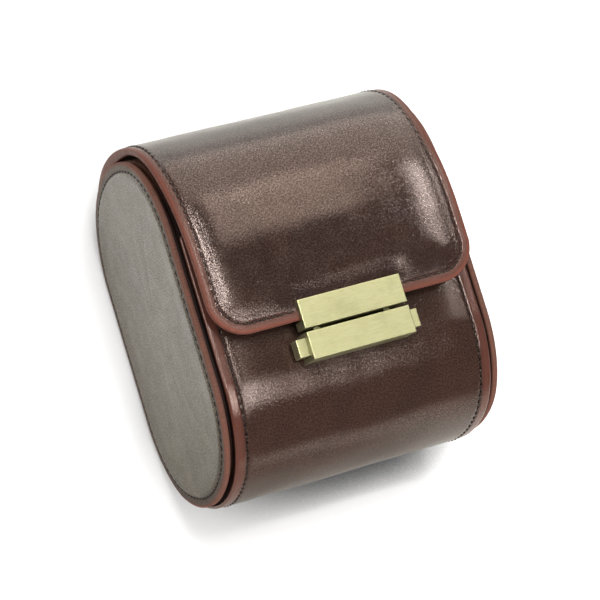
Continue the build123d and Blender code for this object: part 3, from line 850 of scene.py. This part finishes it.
class Leather(Coat):
    """Smooth pull-up leather: fine grain, soft mottling, redder towards the burnished rims.

    The hem is the width of the turned rim and the seam the stitches' distance from it, in mm.
    """

    def __init__(self, name, hem, seam):
        super().__init__(name)
        self.hem, self.seam = hem, seam
        uv = self.leather_uv()
        self.inset = self.add("ShaderNodeAttribute", attribute_name="inset").outputs["Fac"]
        self.mottle = self.noise(uv, 0.045, 4.0, 0.6, 0.4)
        self.cloud = self.noise(uv, 0.16, 3.0, 0.55)
        pores = self.math("ADD", self.cells(uv, 2.3), self.times(self.noise(uv, 2.9, 1.0), 0.8))
        self.pebble = self.remap(pores, 0.50, 0.98, 1.0, 0.0)
        self.grain = self.noise(uv, 2.3, 3.0, 0.6)
        self.tooth = self.noise(uv, 1.95, 1.0, 0.5)
        self.fine = self.noise(uv, 5.5, 2.0, 0.6)
        self.pucker = self.noise(uv, 1.3, 3.0, 0.6)
        uneven = self.math("ADD", self.inset, self.times(self.grain, 0.4))
        self.edge = self.remap(uneven, hem + 0.2, hem - 0.4)

    def dye(self, deep, warm, rim, burnish, speck):
        """Colour, with the share speck of its grain darkened."""
        colour = self.blend(self.remap(self.mottle, 0.35, 0.68), deep, warm)
        pored = self.remap(self.tooth, 0.36, 0.64, 0.0, 0.5 + 0.5 * speck)
        colour = self.blend(pored, colour, PORE)
        uneven = self.math("ADD", self.inset, self.times(self.cloud, 1.6))
        colour = self.blend(self.times(self.remap(uneven, 5.2, 2.6), 0.85), colour, burnish)
        colour = self.blend(self.remap(self.pebble, 0.7, 0.0, 0.0, speck), colour, PEBBLE)
        turned = self.blend(self.remap(self.grain, 0.35, 0.65, 0.0, 0.6), rim, burnish)
        colour = self.blend(self.edge, colour, turned)
        # A painted highlight lightens the turned edge along the middle of its rounding.
        painted_rim_highlight = self.remap(self.inset, self.hem - 0.1, self.hem - 0.9)
        painted_rim_highlight = self.times(self.remap(self.inset, 0.1, 0.6), painted_rim_highlight)
        painted_rim_highlight = self.times(painted_rim_highlight, self.remap(self.mottle, 0.40, 0.60, 0.3, 0.9))
        self.set(Base_Color=self.blend(painted_rim_highlight, colour, scaled_colour(rim, 1.55)))

    def polish(self, rough, matt, tint):
        """Shine of a roughness and a tint; the rim loses the share matt of it."""
        margin = self.remap(self.inset, self.seam - 0.1, self.seam - 0.5)
        dull = self.remap(self.cloud, 0.3, 0.7, rough - 0.03, rough + 0.04)
        dull = self.math("ADD", dull, self.remap(self.fine, 0.3, 0.7, -0.03, 0.03))
        dull = self.math("ADD", dull, self.times(margin, 0.25 * matt))
        self.set(Roughness=self.math("ADD", dull, self.times(self.edge, 0.2 * matt)))
        level = self.math("SUBTRACT", 1.0, self.times(self.edge, matt))
        level = self.times(level, self.remap(margin, 0.0, 1.0, 1.0, 1.0 - 0.9 * matt))
        level = self.times(level, self.remap(self.pebble, 0.0, 1.0, 0.30, 0.72))
        level = self.times(level, self.remap(self.tooth, 0.36, 0.64, 1.45, 0.63))
        self.set(Specular_IOR_Level=level, Specular_Tint=tint)

    def wrinkle(self):
        """Raised grain, and the leather puckered by the stitches just inside the seam."""
        normal = self.bump(self.grain, 0.15, 0.00016)
        normal = self.bump(self.pebble, 0.12, 0.00008, normal)
        normal = self.bump(self.tooth, 0.10, 0.00008, normal)
        normal = self.bump(self.fine, 0.06, 0.00006, normal)
        begins = self.remap(self.inset, self.seam - 0.1, self.seam + 0.4)
        fades = self.remap(self.inset, self.seam + 3.2, self.seam + 0.8)
        drawn = self.times(self.pucker, self.times(begins, fades))
        self.set(Normal=self.bump(drawn, 0.45, 0.00026, normal))


def leather(name, deep, warm, rim, burnish, rough, hem, seam, matt, tint=WARM_SHINE, speck=0.18):
    skin = Leather(name, hem, seam)
    skin.dye(deep, warm, rim, burnish, speck)
    skin.polish(rough, matt, tint)
    skin.wrinkle()
    return skin.material


def thread(name, colour, light):
    """Waxed thread with a slanting ply."""
    n = Coat(name)
    uv = n.leather_uv()
    ply = n.add("ShaderNodeTexWave", wave_type="BANDS", bands_direction="DIAGONAL")
    n.fill(ply, Vector=n.scaled(uv, (1.0, 0.35, 1.0)), Scale=1.6, Distortion=0.6)
    fuzz = n.noise(uv, 3.0, 3.0)
    tone = n.blend(n.remap(ply.outputs["Fac"], 0.2, 0.9), colour, light)
    n.set(Base_Color=tone, Roughness=n.remap(fuzz, 0.3, 0.7, 0.20, 0.32))
    n.set(Specular_IOR_Level=0.3, Specular_Tint=(1.0, 0.84, 0.76, 1))
    n.set(Normal=n.bump(ply.outputs["Fac"], 0.5, 0.0001))
    return n.material


def suede(name, deep, light):
    """Brushed nap in soft clouds of two tones."""
    n = Coat(name)
    place_at = n.place_at()
    cloud = n.noise(place_at, 55.0, 4.0, 0.6, 0.5)
    nap = n.noise(place_at, 1500.0, 3.0, 0.7)
    brush = n.noise(n.scaled(place_at, (1.0, 0.35, 1.0)), 420.0, 3.0)
    tone = n.blend(n.remap(cloud, 0.35, 0.65), deep, light)
    tone = n.blend(n.remap(nap, 0.35, 0.65, 0.0, 0.45), tone, deep)
    n.set(Base_Color=tone, Roughness=n.remap(brush, 0.3, 0.7, 0.82, 0.98))
    n.set(Sheen_Weight=0.35, Sheen_Roughness=0.5, Specular_IOR_Level=0.2)
    n.set(Normal=n.bump(brush, 0.3, 0.0002, n.bump(nap, 0.5, 0.00015)))
    return n.material


def metal(name, colour, shade, rough):
    """Brushed plate: fine lines along X and a few darker smears."""
    n = Coat(name)
    place_at = n.place_at()
    lines = n.noise(n.scaled(place_at, (1.0, 11.0, 11.0)), 330.0, 3.0, 0.6)
    smear = n.noise(place_at, 160.0, 4.0, 0.6)
    tone = n.blend(n.remap(lines, 0.3, 0.7), colour, shade)
    tone = n.blend(n.remap(smear, 0.45, 0.75, 0.0, 0.5), tone, scaled_colour(shade, 0.75))
    n.set(Base_Color=tone, Metallic=0.75)
    n.set(Roughness=n.remap(lines, 0.3, 0.7, rough - 0.008, rough + 0.008))
    n.set(Normal=n.bump(lines, 0.005, 0.00002))
    return n.material


def board(name):
    """Fibrous grey-brown board."""
    n = Coat(name)
    place_at = n.place_at()
    fibre = n.noise(n.scaled(place_at, (1.0, 3.0, 3.0)), 500.0, 4.0, 0.7)
    cloud = n.noise(place_at, 60.0, 3.0)
    tone = n.blend(n.remap(fibre, 0.3, 0.7), rgb(96, 78, 60), rgb(128, 108, 86))
    tone = n.blend(n.remap(cloud, 0.35, 0.7, 0.0, 0.4), tone, rgb(84, 66, 50))
    n.set(Base_Color=tone, Roughness=n.remap(fibre, 0.3, 0.7, 0.8, 0.95))
    n.set(Normal=n.bump(fibre, 0.3, 0.0001))
    return n.material


def edge_leather(name, deep, light, crest=None):
    """Cut leather edge in pressed layers, in dark colours that paint shade; if a crest colour is
    given, it turns to that from Y 30 to 50 mm.
    """
    n = Coat(name)
    place_at = n.place_at()
    layers = n.noise(n.scaled(place_at, (9.0, 1.0, 1.0)), 190.0, 4.0, 0.6)
    cloud = n.noise(place_at, 70.0, 3.0)
    tone = n.blend(n.remap(layers, 0.35, 0.65), deep, light)
    tone = n.blend(n.remap(cloud, 0.4, 0.7, 0.0, 0.5), tone, deep)
    if crest is not None:
        split = n.add("ShaderNodeSeparateXYZ")
        n.join(place_at, split.inputs[0])
        tone = n.blend(n.remap(split.outputs[1], 0.030, 0.050), tone, crest)
    n.set(Base_Color=tone, Roughness=n.remap(layers, 0.3, 0.7, 0.6, 0.8), Specular_IOR_Level=0.15)
    n.set(Normal=n.bump(layers, 0.4, 0.00015))
    return n.material


def round_edges(obj, width):
    """Soft edges on a metal piece."""
    bevel = obj.modifiers.new("soft_edges", "BEVEL")
    put(bevel, width=width * MM, segments=3, limit_method="ANGLE", angle_limit=radians(50))


def wear(obj, material):
    """Give a piece one material."""
    obj.data.materials.clear()
    obj.data.materials.append(material)


# ---------------- watch cushion


def cushion_outline(offset, count):
    """Even points of the cushion's oval, grown by an offset."""
    half_height, corner, rise = 31.0, 15.0, 4.0
    y, z = half_height - corner - rise, CUSHION_HALF_DEPTH - corner
    crown = (z**2 + (corner + rise) ** 2 - corner**2) / (2 * rise)
    crown_y = half_height - crown
    join = degrees(atan2(z, y - crown_y))
    depth = CUSHION_HALF_DEPTH + offset
    path = oval((y, z), corner + offset, crown_y, crown + offset, depth, join)
    return path.at(np.arange(count) / count * path.length)[0]


def read_points(mesh):
    flat = np.empty(len(mesh.vertices) * 3, np.float32)
    mesh.vertices.foreach_get("co", flat)
    return flat.reshape(-1, 3).astype(float)


LAST_FRAME = 20


def swell(obj, pinned, most):
    """Cloth under pressure, held at its seams, with no point moved further than most metres."""
    seams = obj.vertex_groups.new(name="seams")
    seams.add(pinned, 1.0, "REPLACE")
    cloth = obj.modifiers.new("swell", "CLOTH")
    put(
        cloth.settings, quality=6, mass=0.15, tension_stiffness=8.0, compression_stiffness=8.0,
        shear_stiffness=3.0, bending_stiffness=0.06, shrink_min=-0.05, use_pressure=True,
        uniform_pressure_force=4.0, vertex_group_mass=seams.name,
    )
    cloth.settings.effector_weights.gravity = 0.0
    cloth.collision_settings.use_collision = False
    put(cloth.point_cache, frame_start=1, frame_end=LAST_FRAME)
    scene = bpy.context.scene
    for frame in range(1, LAST_FRAME + 1):
        scene.frame_set(frame)
    before = read_points(obj.data)
    puffed = obj.evaluated_get(bpy.context.evaluated_depsgraph_get())
    move = read_points(puffed.data) - before
    obj.modifiers.remove(cloth)
    obj.vertex_groups.remove(seams)
    scene.frame_set(1)
    far = np.linalg.norm(move, axis=1, keepdims=True)
    # A point nears the cap smoothly, so that no flat patch is cut into the cloth.
    move = move / np.maximum(far, 1e-9) * most * np.tanh(far / most)
    return before + move


def end_panel(rim, sign):
    """Rings of a crowned end panel, from its rim to its middle."""
    made = []
    for share in (0.97, 0.9, 0.8, 0.66, 0.5, 0.33, 0.16, 0.0):
        ring = rim.copy()
        ring[:, 1:] *= share
        ring[:, 0] = sign * (CUSHION_SEAM_X + 1 - share**2.2)
        made.append(ring)
    return made


def cushion_rings(count):
    """Rings of the cushion's tube from left to right, drawn in at both seams."""
    stations = np.concatenate([
        np.linspace(-1.0, -0.93, 6), np.linspace(-0.9, 0.9, 41), np.linspace(0.93, 1.0, 6),
    ])
    rings = []
    for share in stations:
        drawn_in = 1.15 - smoothstep((1 - abs(share)) / 0.10)
        narrowing = 0.75 * abs(share) ** 2.4
        ring = cushion_outline(-drawn_in - narrowing, count)
        rings.append(np.column_stack([np.full(count, share * CUSHION_SEAM_X), ring]))
    return rings


def puff_up(obj):
    """Swell the cushion's cloth between its seams, clear of the tube round it."""
    seam_x = CUSHION_SEAM_X * MM
    pinned = [v.index for v in obj.data.vertices if abs(abs(v.co.x) - seam_x) < 2e-5]
    soft = swell(obj, pinned, MOST_PUFF * MM)
    soft[:, 2] = np.maximum(soft[:, 2], place((0, 0, CUSHION_UNDERSIDE))[2])
    soft[:, 0] = np.clip(soft[:, 0], -CUSHION_HALF_WIDTH * MM, CUSHION_HALF_WIDTH * MM)
    obj.data.vertices.foreach_set("co", soft.astype(np.float32).ravel())
    obj.data.update()


def build_cushion():
    """Suede cushion: a soft tube swollen between its two seams, with crowned end panels."""
    count = 160
    rings = cushion_rings(count)
    rims = {-1: rings[0], 1: rings[-1]}
    points = np.stack(end_panel(rims[-1], -1)[::-1] + rings + end_panel(rims[1], 1))
    points[..., 2] += CUSHION_Z
    uneven = wobble(points[..., 0], points[..., 1] + 0.6 * points[..., 2], 0.22, 31)
    out = points - np.array([0, 0, CUSHION_Z])
    out[..., 0] = 0
    size = np.linalg.norm(out, axis=-1, keepdims=True)
    points = points + out / np.maximum(size, 1.0) * uneven[..., None]
    points[..., 2] = np.maximum(points[..., 2], CUSHION_UNDERSIDE)
    flat = points.reshape(-1, 3)
    obj = make_piece("watch_cushion", flat, grid_faces(ring_index(len(flat), count)), flat[:, :2])
    mend(obj)
    puff_up(obj)
    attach(obj, "cushion")
    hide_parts("cushion_cover", "cushion_core", "left_cushion_end", "right_cushion_end")
    pieces = [obj]
    for side, label in SIDES:
        line = rims[side] * (1, 1.018, 1.018) + (0, 0, CUSHION_Z)
        pieces.append(build_piping(f"{label}_cushion_piping", line))
        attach(pieces[-1], "cushion")
    return pieces


CORD_SIDES = 10


def cord(line, first, second, radius):
    """Points round a line, in the plane of two directions at each of its points."""
    angles = np.arange(CORD_SIDES) / CORD_SIDES * 2 * pi
    ring = [line + radius * (first * cos(a) + second * sin(a)) for a in angles]
    points = np.stack(ring, 1).reshape(-1, 3)
    return points, ring_index(len(points), CORD_SIDES)


def build_piping(name, line):
    """A closed round cord along a loop of points."""
    ahead = unit(np.roll(line, -1, 0) - np.roll(line, 1, 0))
    first = np.tile([1.0, 0, 0], (len(line), 1))
    points, index = cord(line, first, np.cross(ahead, first), 0.85)
    faces = grid_faces(np.concatenate([index, index[:1]]), flip=True)
    return make_piece(name, points, faces, points[:, 1:])


def build_spring(label):
    """A coil between the lock's post and a button."""
    wire, turns, steps = 0.2, 5, 28
    low, high = (np.array(corner) / MM - FRAME_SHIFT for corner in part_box(f"{label}_button_spring"))
    middle, half = (low + high) / 2, (high - low) / 2 - wire
    turn = np.linspace(0, 2 * pi * turns, turns * steps + 1)
    out = np.column_stack([turn * 0, np.cos(turn), np.sin(turn)])
    along = np.linspace(-half[0], half[0], len(turn))
    line = middle + out * half[1] + np.column_stack([along, turn * 0, turn * 0])
    ahead = unit(np.gradient(line, axis=0))
    points, index = cord(line, out, np.cross(ahead, out), wire)
    faces = grid_faces(index) + [tuple(index[0][-2::-1]), tuple(index[-1][:-1])]
    obj = make_piece(f"{label}_button_coil", points, faces)
    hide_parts(f"{label}_button_spring")
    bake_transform(obj)
    return obj


# ---------------- camera, light, floor


CAMERA = np.array((-266.19, -87.21, 745.09))
YAW, PITCH_DOWN, ROLL = radians(19.66), radians(-6.29), radians(17.05)
PICTURE_WIDTH = 600  # pixels
FOCAL_LENGTH = 2412.9  # pixels
SENSOR_WIDTH = 36.0


def camera_axes():
    """Rows: the camera's right, its up and the way back towards it."""
    yaw = np.array([[cos(YAW), 0, sin(YAW)], [0, 1, 0], [-sin(YAW), 0, cos(YAW)]])
    pitch = np.array([
        [1, 0, 0], [0, cos(PITCH_DOWN), -sin(PITCH_DOWN)], [0, sin(PITCH_DOWN), cos(PITCH_DOWN)],
    ])
    roll = np.array([[cos(ROLL), -sin(ROLL), 0], [sin(ROLL), cos(ROLL), 0], [0, 0, 1]])
    return roll @ pitch @ yaw


def build_camera():
    """The camera that the photograph was fitted with."""
    data = bpy.data.cameras.new("camera")
    lens = FOCAL_LENGTH / PICTURE_WIDTH * SENSOR_WIDTH
    put(data, sensor_width=SENSOR_WIDTH, lens=lens, clip_start=0.05, clip_end=20)
    put(data, shift_x=8.3 / PICTURE_WIDTH, shift_y=0.8 / PICTURE_WIDTH)
    camera = link("camera", data)
    turn = Matrix(camera_axes().T.tolist()).to_4x4()
    camera.matrix_world = Matrix.Translation(place(CAMERA).tolist()) @ turn
    bpy.context.scene.camera = camera
    bpy.context.scene.view_settings.view_transform = "Standard"


def softbox(name, towards, distance, width, height, radiance, shine=True, tint=(1, 1, 1)):
    """A lamp that faces the case from a direction, as wide along X and as bright as stated.

    A lamp for shine shows only as a reflection; the others light surfaces and cast shadows.
    """
    back = Vector(towards).normalized()
    side = (Vector((1, 0, 0)) - back * back.x).normalized()
    turn = Matrix((side, back.cross(side), back)).transposed().to_4x4()
    data = bpy.data.lights.new(name, "AREA")
    energy = 4 * radiance * width * height
    put(data, shape="RECTANGLE", size=width, size_y=height, energy=energy, color=tint)
    lamp = link(name, data)
    lamp.matrix_world = Matrix.Translation(Vector(place((0, 0, 0))) + back * distance) @ turn
    put(lamp, visible_diffuse=not shine, visible_glossy=shine)


def build_lamps():
    """Two lamps that light the case, and the shapes that shine in its leather and brass."""
    warm = (1.0, 0.92, 0.84)
    softbox("key", (-0.05, 0.30, 0.95), 1.1, 0.55, 0.55, 6.8, shine=False)
    softbox("front_fill", (-0.1, -0.90, 0.42), 1.3, 0.9, 0.6, 7.0, shine=False)
    softbox("window_high", (0.36, 0.90, 0.32), 0.90, 0.70, 0.68, 2.75, tint=warm)
    softbox("window_low", (0.285, 0.59, 0.755), 0.90, 0.10, 0.49, 7.0, tint=warm)
    softbox("shine_left", (-0.08, 0.38, 0.92), 1.10, 0.09, 0.95, 50.0)
    softbox("shine_right", (0.562, 0.36, 0.745), 0.90, 0.045, 0.52, 42.0)
    softbox("shine_low", (0.11, -0.33, 0.94), 1.00, 0.28, 0.42, 12.5)
    softbox("glow_low", (0.13, 0.03, 0.99), 1.00, 0.13, 0.30, 1.9, tint=warm)
    softbox("shine_side", (-0.78, 0.20, 0.60), 1.00, 0.34, 0.44, 12.0)


def build_world():
    """White to the camera, and greys of their own to diffuse rays and to reflections."""
    world = bpy.data.worlds.new("studio")
    bpy.context.scene.world = world
    n = Nodes(world, "ShaderNodeOutputWorld")
    rays = n.add("ShaderNodeLightPath").outputs

    def grey(level):
        shade = n.add("ShaderNodeBackground")
        shade.inputs[0].default_value = (level, level, level, 1)
        return shade.outputs[0]

    seen = n.mixed("ShaderNodeMixShader", rays["Is Diffuse Ray"], grey(0.20), grey(0.50))
    n.show(n.mixed("ShaderNodeMixShader", rays["Is Camera Ray"], seen, grey(1.0)))


def paper_colour(n, across, along, rays):
    """The paper's colour to each kind of ray."""
    # Painted shade: in front of the case the floor's reflection is dimmer, towards the left more so.
    ahead = n.remap(along, -0.09, -0.01, 1.0, 0.0)
    ahead = n.times(ahead, n.remap(across, 0.03, 0.10, 1.0, 0.0))
    seen = n.blend(ahead, (1.0, 0.98, 0.90, 1), (0.42, 0.40, 0.36, 1))
    tone = n.blend(rays["Is Glossy Ray"], (0.82, 0.82, 0.815, 1), seen)
    # Painted contact shadow: the paper darkens softly where the case all but touches it, more so to
    # the right and in front.
    contact = n.add("ShaderNodeAmbientOcclusion", samples=8)
    contact.inputs["Distance"].default_value = 0.022
    dark = n.remap(across, -0.04, 0.015, 0.5, 5.0)
    dark = n.times(dark, n.remap(along, 0.0, -0.04, 0.4, 1.0))
    open_share = n.math("POWER", contact.outputs["AO"], dark)
    shaded = n.blend(open_share, (0.0, 0.0, 0.0, 1), (1.12, 1.12, 1.11, 1))
    return n.blend(rays["Is Camera Ray"], tone, shaded)


def paper_glow(n, across, along, away, rays):
    """The paper's own light: in reflections near the window, and to the camera far away."""
    near = n.remap(along, 0.08, 0.20, 0.0, 0.75)
    far = n.remap(along, 0.20, 1.2)
    beside = n.times(n.remap(across, -0.04, -0.07, 0.0, 0.45), n.remap(along, -0.05, 0.02))
    bright = n.math("ADD", n.math("ADD", near, far), beside)
    mirrored = n.times(rays["Is Glossy Ray"], bright)
    white = n.times(n.remap(away, 0.35, 0.9), rays["Is Camera Ray"])
    return n.math("ADD", mirrored, white)


def build_floor():
    """White paper under the case."""
    mesh = bpy.data.meshes.new("floor")
    size = 6.0
    corners = [(-size, -size, 0), (size, -size, 0), (size, size, 0), (-size, size, 0)]
    mesh.from_pydata(corners, [], [(0, 1, 2, 3)])
    floor = link("floor", mesh)
    material = bpy.data.materials.new("paper")
    n = Nodes(material)
    paper = n.add("ShaderNodeBsdfDiffuse")
    glow = n.add("ShaderNodeEmission")
    rays = n.add("ShaderNodeLightPath").outputs
    place_at = n.place_at()
    split = n.add("ShaderNodeSeparateXYZ")
    radius = n.add("ShaderNodeVectorMath", operation="LENGTH")
    n.join(place_at, split.inputs[0])
    n.join(place_at, radius.inputs[0])
    across, along, away = split.outputs[0], split.outputs[1], radius.outputs["Value"]
    n.fill(paper, Color=paper_colour(n, across, along, rays))
    n.fill(glow, Strength=paper_glow(n, across, along, away, rays))
    n.show(n.mixed("ShaderNodeAddShader", paper.outputs[0], glow.outputs[0]))
    mesh.materials.append(material)


# ---------------- assembly


def bend_flap(pieces):
    """Bake the placing of the flap's leather and stitches into their meshes."""
    for obj in pieces:
        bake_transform(obj)


def dress_solids(nodes, brass, steel, lining):
    """Materials for the CAD solids that stay visible."""
    card = board("grey_board")
    # Painted shade: the welts and end boards are near black for the shade in the groove round the
    # caps, and brown towards the crest.
    edge_painted_shade = edge_leather("edge_painted_shade", rgb(30, 17, 13), rgb(46, 26, 20), crest=rgb(92, 58, 40))
    looks = {"shell_board": card, "flap_board": card, "shell_lining": lining, "flap_lining": lining}
    for _, label in SIDES:
        looks[f"{label}_end_board"] = edge_painted_shade
        looks[f"{label}_end_lining"] = lining
        looks[f"{label}_welt"] = edge_painted_shade
    for name, obj in nodes.items():
        if name in looks:
            wear(obj, looks[name])
        elif "backing" in name:
            wear(obj, steel)
        elif not obj.hide_render:
            wear(obj, brass)
            round_edges(obj, 0.55)


def main():
    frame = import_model()
    build_camera()
    build_lamps()
    build_world()
    build_floor()

    brown = leather(
        "body_leather", deep=rgb(59, 41, 34), warm=rgb(67, 46, 38), rim=rgb(92, 54, 43),
        burnish=rgb(92, 54, 45), rough=0.14, hem=0.5, seam=BODY_STITCH_INSET, matt=0.1,
    )
    flap_skin = leather(
        "flap_leather", deep=rgb(54, 39, 35), warm=rgb(63, 44, 38), rim=rgb(98, 56, 46),
        burnish=rgb(104, 68, 58), rough=0.14, hem=1.6, seam=FLAP_STITCH_INSET, matt=0.6,
    )
    cap_skin = leather(
        "cap_leather", deep=rgb(89, 77, 61), warm=rgb(106, 92, 73), rim=rgb(106, 68, 57),
        burnish=rgb(84, 63, 54), rough=0.34, hem=1.2, seam=CAP_STITCH_INSET, matt=0.6,
        tint=CAP_SHINE, speck=0.5,
    )
    lace = thread("waxed_thread", rgb(14, 8, 7), rgb(50, 32, 26))
    # Needle holes are near-black discs: painted shade.
    hole_shade = edge_leather("needle_hole_painted_shade", rgb(8, 5, 4), rgb(16, 9, 7))
    brass = metal("brushed_brass", rgb(153, 150, 114), rgb(144, 141, 101), 0.33)
    steel = metal("steel", rgb(190, 190, 188), rgb(160, 160, 158), 0.32)
    lining = suede("suede_lining", rgb(108, 84, 62), rgb(136, 108, 82))
    pad = suede("suede_cushion", rgb(120, 94, 70), rgb(148, 120, 92))

    wear(build_body_wrap(), brown)
    flap = build_flap_wrap()
    wear(flap, flap_skin)
    for side, label in SIDES:
        wear(build_cap(side, label), cap_skin)
    wear(front_binding(), brown)
    wear(rear_binding(), brown)
    stitches, flap_stitches = build_stitches()
    for obj in stitches:
        wear(obj, lace)
        obj.data.materials.append(hole_shade)
    for obj in build_cushion():
        wear(obj, pad)
    for side, label in SIDES:
        wear(build_spring(label), steel)
    bend_flap((flap, flap_stitches))
    dress_solids(frame["nodes"], brass, steel, lining)


main()
